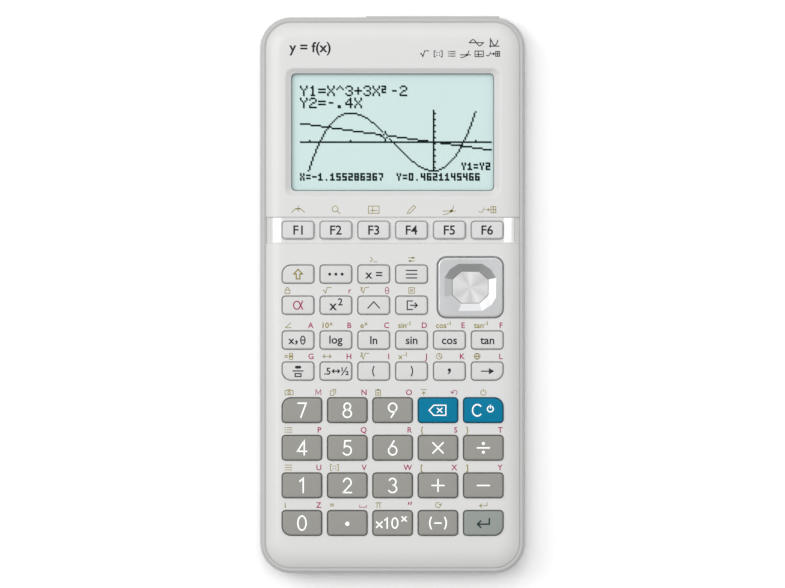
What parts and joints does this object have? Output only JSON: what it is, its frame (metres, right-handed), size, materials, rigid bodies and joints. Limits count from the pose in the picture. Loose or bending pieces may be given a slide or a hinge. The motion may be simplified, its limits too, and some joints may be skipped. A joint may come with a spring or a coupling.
{
  "type": "graphing calculator",
  "caption": "Handheld graphing calculator with a dot-matrix display, a function row, white and grey keys, a tilting cursor pad and a rear battery cover.",
  "frame": {"origin": "centre of the footprint, on the plane that the four rear feet stand on", "axes": "+X to the right across the keypad, +Y along the body towards the display end, +Z out of the face; the calculator lies on its back"},
  "size_m": [0.0834, 0.1755, 0.0186],
  "materials": {
    "silver_paint_plastic": "fine silver-grey paint, satin",
    "rear_plastic": "fine spark-eroded texture",
    "clear_window": "clear acrylic, polished",
    "lcd_glass": "reflective liquid-crystal panel",
    "silicone_rubber": "translucent silicone, satin",
    "circuit_board": "solder mask over glass-epoxy",
    "plated_steel": "nickel plated",
    "battery_jacket": "printed sleeve, gloss",
    "black_rubber": "matt",
    "silver_pad_plastic": "metallic silver finish",
    "function_key_plastic": "silver-grey, gloss",
    "white_key_plastic": "near-white, satin gloss",
    "grey_key_plastic": "warm grey, satin gloss",
    "teal_key_plastic": "teal blue, satin gloss"
  },
  "bodies": {
    "calculator": {"front_cover": "silver_paint_plastic", "rear_cover": "rear_plastic", "display_window": "clear_window", "lcd_panel": "lcd_glass", "key_mat": "silicone_rubber", "main_board": "circuit_board", "port_sockets": "plated_steel", "batteries": "battery_jacket", "battery_contacts": "plated_steel", "rubber_feet": "black_rubber", "screws": "plated_steel"},
    "battery_door": {"battery_cover": "rear_plastic"},
    "cursor_rocker": {"cursor_pad_rocker": "rear_plastic"},
    "cursor_top": {"cursor_pad": "silver_pad_plastic"},
    "key_f1_cap": {"key_f1": "function_key_plastic"},
    "key_f2_cap": {"key_f2": "function_key_plastic"},
    "key_f3_cap": {"key_f3": "function_key_plastic"},
    "key_f4_cap": {"key_f4": "function_key_plastic"},
    "key_f5_cap": {"key_f5": "function_key_plastic"},
    "key_f6_cap": {"key_f6": "function_key_plastic"},
    "key_shift_cap": {"key_shift": "white_key_plastic"},
    "key_options_cap": {"key_options": "white_key_plastic"},
    "key_variables_cap": {"key_variables": "white_key_plastic"},
    "key_menu_cap": {"key_menu": "white_key_plastic"},
    "key_alpha_cap": {"key_alpha": "white_key_plastic"},
    "key_square_cap": {"key_square": "white_key_plastic"},
    "key_power_cap": {"key_power": "white_key_plastic"},
    "key_exit_cap": {"key_exit": "white_key_plastic"},
    "key_angle_x_cap": {"key_angle_x": "white_key_plastic"},
    "key_log_cap": {"key_log": "white_key_plastic"},
    "key_ln_cap": {"key_ln": "white_key_plastic"},
    "key_sin_cap": {"key_sin": "white_key_plastic"},
    "key_cos_cap": {"key_cos": "white_key_plastic"},
    "key_tan_cap": {"key_tan": "white_key_plastic"},
    "key_fraction_cap": {"key_fraction": "white_key_plastic"},
    "key_convert_cap": {"key_convert": "white_key_plastic"},
    "key_open_bracket_cap": {"key_open_bracket": "white_key_plastic"},
    "key_close_bracket_cap": {"key_close_bracket": "white_key_plastic"},
    "key_comma_cap": {"key_comma": "white_key_plastic"},
    "key_store_cap": {"key_store": "white_key_plastic"},
    "key_7_cap": {"key_7": "grey_key_plastic"},
    "key_8_cap": {"key_8": "grey_key_plastic"},
    "key_9_cap": {"key_9": "grey_key_plastic"},
    "key_delete_cap": {"key_delete": "teal_key_plastic"},
    "key_all_clear_cap": {"key_all_clear": "teal_key_plastic"},
    "key_4_cap": {"key_4": "grey_key_plastic"},
    "key_5_cap": {"key_5": "grey_key_plastic"},
    "key_6_cap": {"key_6": "grey_key_plastic"},
    "key_times_cap": {"key_times": "grey_key_plastic"},
    "key_divide_cap": {"key_divide": "grey_key_plastic"},
    "key_1_cap": {"key_1": "grey_key_plastic"},
    "key_2_cap": {"key_2": "grey_key_plastic"},
    "key_3_cap": {"key_3": "grey_key_plastic"},
    "key_plus_cap": {"key_plus": "grey_key_plastic"},
    "key_minus_cap": {"key_minus": "grey_key_plastic"},
    "key_0_cap": {"key_0": "grey_key_plastic"},
    "key_point_cap": {"key_point": "grey_key_plastic"},
    "key_exponent_cap": {"key_exponent": "grey_key_plastic"},
    "key_negative_cap": {"key_negative": "grey_key_plastic"},
    "key_execute_cap": {"key_execute": "grey_key_plastic"}
  },
  "joints": [
    {"name": "battery_cover_hinge", "type": "hinge", "parent": "calculator", "child": "battery_door", "pos_m": [0, 0.0743, 0.0006], "axis": [1, 0, 0], "range_deg": [0, 75]},
    {"name": "cursor_tilt_up_down", "type": "hinge", "parent": "calculator", "child": "cursor_rocker", "pos_m": [0.0244, 0.00249, 0.0145], "axis": [1, 0, 0], "range_deg": [-3, 3], "stiffness_Nm_per_rad": 0.15, "deforming": ["key_mat"]},
    {"name": "cursor_tilt_left_right", "type": "hinge", "parent": "cursor_rocker", "child": "cursor_top", "pos_m": [0.0244, 0.00249, 0.0145], "axis": [0, 1, 0], "range_deg": [-3, 3], "stiffness_Nm_per_rad": 0.15, "deforming": ["key_mat"]},
    {"name": "press_key_f1", "type": "slide", "parent": "calculator", "child": "key_f1_cap", "axis": [0, 0, -1], "range_m": [0, 0.0012], "stiffness_N_per_m": 600, "springref_m": -0.0005, "deforming": ["key_mat"]},
    {"name": "press_key_f2", "type": "slide", "parent": "calculator", "child": "key_f2_cap", "axis": [0, 0, -1], "range_m": [0, 0.0012], "stiffness_N_per_m": 600, "springref_m": -0.0005, "deforming": ["key_mat"]},
    {"name": "press_key_f3", "type": "slide", "parent": "calculator", "child": "key_f3_cap", "axis": [0, 0, -1], "range_m": [0, 0.0012], "stiffness_N_per_m": 600, "springref_m": -0.0005, "deforming": ["key_mat"]},
    {"name": "press_key_f4", "type": "slide", "parent": "calculator", "child": "key_f4_cap", "axis": [0, 0, -1], "range_m": [0, 0.0012], "stiffness_N_per_m": 600, "springref_m": -0.0005, "deforming": ["key_mat"]},
    {"name": "press_key_f5", "type": "slide", "parent": "calculator", "child": "key_f5_cap", "axis": [0, 0, -1], "range_m": [0, 0.0012], "stiffness_N_per_m": 600, "springref_m": -0.0005, "deforming": ["key_mat"]},
    {"name": "press_key_f6", "type": "slide", "parent": "calculator", "child": "key_f6_cap", "axis": [0, 0, -1], "range_m": [0, 0.0012], "stiffness_N_per_m": 600, "springref_m": -0.0005, "deforming": ["key_mat"]},
    {"name": "press_key_shift", "type": "slide", "parent": "calculator", "child": "key_shift_cap", "axis": [0, 0, -1], "range_m": [0, 0.0012], "stiffness_N_per_m": 600, "springref_m": -0.0005, "deforming": ["key_mat"]},
    {"name": "press_key_options", "type": "slide", "parent": "calculator", "child": "key_options_cap", "axis": [0, 0, -1], "range_m": [0, 0.0012], "stiffness_N_per_m": 600, "springref_m": -0.0005, "deforming": ["key_mat"]},
    {"name": "press_key_variables", "type": "slide", "parent": "calculator", "child": "key_variables_cap", "axis": [0, 0, -1], "range_m": [0, 0.0012], "stiffness_N_per_m": 600, "springref_m": -0.0005, "deforming": ["key_mat"]},
    {"name": "press_key_menu", "type": "slide", "parent": "calculator", "child": "key_menu_cap", "axis": [0, 0, -1], "range_m": [0, 0.0012], "stiffness_N_per_m": 600, "springref_m": -0.0005, "deforming": ["key_mat"]},
    {"name": "press_key_alpha", "type": "slide", "parent": "calculator", "child": "key_alpha_cap", "axis": [0, 0, -1], "range_m": [0, 0.0012], "stiffness_N_per_m": 600, "springref_m": -0.0005, "deforming": ["key_mat"]},
    {"name": "press_key_square", "type": "slide", "parent": "calculator", "child": "key_square_cap", "axis": [0, 0, -1], "range_m": [0, 0.0012], "stiffness_N_per_m": 600, "springref_m": -0.0005, "deforming": ["key_mat"]},
    {"name": "press_key_power", "type": "slide", "parent": "calculator", "child": "key_power_cap", "axis": [0, 0, -1], "range_m": [0, 0.0012], "stiffness_N_per_m": 600, "springref_m": -0.0005, "deforming": ["key_mat"]},
    {"name": "press_key_exit", "type": "slide", "parent": "calculator", "child": "key_exit_cap", "axis": [0, 0, -1], "range_m": [0, 0.0012], "stiffness_N_per_m": 600, "springref_m": -0.0005, "deforming": ["key_mat"]},
    {"name": "press_key_angle_x", "type": "slide", "parent": "calculator", "child": "key_angle_x_cap", "axis": [0, 0, -1], "range_m": [0, 0.0012], "stiffness_N_per_m": 600, "springref_m": -0.0005, "deforming": ["key_mat"]},
    {"name": "press_key_log", "type": "slide", "parent": "calculator", "child": "key_log_cap", "axis": [0, 0, -1], "range_m": [0, 0.0012], "stiffness_N_per_m": 600, "springref_m": -0.0005, "deforming": ["key_mat"]},
    {"name": "press_key_ln", "type": "slide", "parent": "calculator", "child": "key_ln_cap", "axis": [0, 0, -1], "range_m": [0, 0.0012], "stiffness_N_per_m": 600, "springref_m": -0.0005, "deforming": ["key_mat"]},
    {"name": "press_key_sin", "type": "slide", "parent": "calculator", "child": "key_sin_cap", "axis": [0, 0, -1], "range_m": [0, 0.0012], "stiffness_N_per_m": 600, "springref_m": -0.0005, "deforming": ["key_mat"]},
    {"name": "press_key_cos", "type": "slide", "parent": "calculator", "child": "key_cos_cap", "axis": [0, 0, -1], "range_m": [0, 0.0012], "stiffness_N_per_m": 600, "springref_m": -0.0005, "deforming": ["key_mat"]},
    {"name": "press_key_tan", "type": "slide", "parent": "calculator", "child": "key_tan_cap", "axis": [0, 0, -1], "range_m": [0, 0.0012], "stiffness_N_per_m": 600, "springref_m": -0.0005, "deforming": ["key_mat"]},
    {"name": "press_key_fraction", "type": "slide", "parent": "calculator", "child": "key_fraction_cap", "axis": [0, 0, -1], "range_m": [0, 0.0012], "stiffness_N_per_m": 600, "springref_m": -0.0005, "deforming": ["key_mat"]},
    {"name": "press_key_convert", "type": "slide", "parent": "calculator", "child": "key_convert_cap", "axis": [0, 0, -1], "range_m": [0, 0.0012], "stiffness_N_per_m": 600, "springref_m": -0.0005, "deforming": ["key_mat"]},
    {"name": "press_key_open_bracket", "type": "slide", "parent": "calculator", "child": "key_open_bracket_cap", "axis": [0, 0, -1], "range_m": [0, 0.0012], "stiffness_N_per_m": 600, "springref_m": -0.0005, "deforming": ["key_mat"]},
    {"name": "press_key_close_bracket", "type": "slide", "parent": "calculator", "child": "key_close_bracket_cap", "axis": [0, 0, -1], "range_m": [0, 0.0012], "stiffness_N_per_m": 600, "springref_m": -0.0005, "deforming": ["key_mat"]},
    {"name": "press_key_comma", "type": "slide", "parent": "calculator", "child": "key_comma_cap", "axis": [0, 0, -1], "range_m": [0, 0.0012], "stiffness_N_per_m": 600, "springref_m": -0.0005, "deforming": ["key_mat"]},
    {"name": "press_key_store", "type": "slide", "parent": "calculator", "child": "key_store_cap", "axis": [0, 0, -1], "range_m": [0, 0.0012], "stiffness_N_per_m": 600, "springref_m": -0.0005, "deforming": ["key_mat"]},
    {"name": "press_key_7", "type": "slide", "parent": "calculator", "child": "key_7_cap", "axis": [0, 0, -1], "range_m": [0, 0.0012], "stiffness_N_per_m": 600, "springref_m": -0.0005, "deforming": ["key_mat"]},
    {"name": "press_key_8", "type": "slide", "parent": "calculator", "child": "key_8_cap", "axis": [0, 0, -1], "range_m": [0, 0.0012], "stiffness_N_per_m": 600, "springref_m": -0.0005, "deforming": ["key_mat"]},
    {"name": "press_key_9", "type": "slide", "parent": "calculator", "child": "key_9_cap", "axis": [0, 0, -1], "range_m": [0, 0.0012], "stiffness_N_per_m": 600, "springref_m": -0.0005, "deforming": ["key_mat"]},
    {"name": "press_key_delete", "type": "slide", "parent": "calculator", "child": "key_delete_cap", "axis": [0, 0, -1], "range_m": [0, 0.0012], "stiffness_N_per_m": 600, "springref_m": -0.0005, "deforming": ["key_mat"]},
    {"name": "press_key_all_clear", "type": "slide", "parent": "calculator", "child": "key_all_clear_cap", "axis": [0, 0, -1], "range_m": [0, 0.0012], "stiffness_N_per_m": 600, "springref_m": -0.0005, "deforming": ["key_mat"]},
    {"name": "press_key_4", "type": "slide", "parent": "calculator", "child": "key_4_cap", "axis": [0, 0, -1], "range_m": [0, 0.0012], "stiffness_N_per_m": 600, "springref_m": -0.0005, "deforming": ["key_mat"]},
    {"name": "press_key_5", "type": "slide", "parent": "calculator", "child": "key_5_cap", "axis": [0, 0, -1], "range_m": [0, 0.0012], "stiffness_N_per_m": 600, "springref_m": -0.0005, "deforming": ["key_mat"]},
    {"name": "press_key_6", "type": "slide", "parent": "calculator", "child": "key_6_cap", "axis": [0, 0, -1], "range_m": [0, 0.0012], "stiffness_N_per_m": 600, "springref_m": -0.0005, "deforming": ["key_mat"]},
    {"name": "press_key_times", "type": "slide", "parent": "calculator", "child": "key_times_cap", "axis": [0, 0, -1], "range_m": [0, 0.0012], "stiffness_N_per_m": 600, "springref_m": -0.0005, "deforming": ["key_mat"]},
    {"name": "press_key_divide", "type": "slide", "parent": "calculator", "child": "key_divide_cap", "axis": [0, 0, -1], "range_m": [0, 0.0012], "stiffness_N_per_m": 600, "springref_m": -0.0005, "deforming": ["key_mat"]},
    {"name": "press_key_1", "type": "slide", "parent": "calculator", "child": "key_1_cap", "axis": [0, 0, -1], "range_m": [0, 0.0012], "stiffness_N_per_m": 600, "springref_m": -0.0005, "deforming": ["key_mat"]},
    {"name": "press_key_2", "type": "slide", "parent": "calculator", "child": "key_2_cap", "axis": [0, 0, -1], "range_m": [0, 0.0012], "stiffness_N_per_m": 600, "springref_m": -0.0005, "deforming": ["key_mat"]},
    {"name": "press_key_3", "type": "slide", "parent": "calculator", "child": "key_3_cap", "axis": [0, 0, -1], "range_m": [0, 0.0012], "stiffness_N_per_m": 600, "springref_m": -0.0005, "deforming": ["key_mat"]},
    {"name": "press_key_plus", "type": "slide", "parent": "calculator", "child": "key_plus_cap", "axis": [0, 0, -1], "range_m": [0, 0.0012], "stiffness_N_per_m": 600, "springref_m": -0.0005, "deforming": ["key_mat"]},
    {"name": "press_key_minus", "type": "slide", "parent": "calculator", "child": "key_minus_cap", "axis": [0, 0, -1], "range_m": [0, 0.0012], "stiffness_N_per_m": 600, "springref_m": -0.0005, "deforming": ["key_mat"]},
    {"name": "press_key_0", "type": "slide", "parent": "calculator", "child": "key_0_cap", "axis": [0, 0, -1], "range_m": [0, 0.0012], "stiffness_N_per_m": 600, "springref_m": -0.0005, "deforming": ["key_mat"]},
    {"name": "press_key_point", "type": "slide", "parent": "calculator", "child": "key_point_cap", "axis": [0, 0, -1], "range_m": [0, 0.0012], "stiffness_N_per_m": 600, "springref_m": -0.0005, "deforming": ["key_mat"]},
    {"name": "press_key_exponent", "type": "slide", "parent": "calculator", "child": "key_exponent_cap", "axis": [0, 0, -1], "range_m": [0, 0.0012], "stiffness_N_per_m": 600, "springref_m": -0.0005, "deforming": ["key_mat"]},
    {"name": "press_key_negative", "type": "slide", "parent": "calculator", "child": "key_negative_cap", "axis": [0, 0, -1], "range_m": [0, 0.0012], "stiffness_N_per_m": 600, "springref_m": -0.0005, "deforming": ["key_mat"]},
    {"name": "press_key_execute", "type": "slide", "parent": "calculator", "child": "key_execute_cap", "axis": [0, 0, -1], "range_m": [0, 0.0012], "stiffness_N_per_m": 600, "springref_m": -0.0005, "deforming": ["key_mat"]}
  ]
}
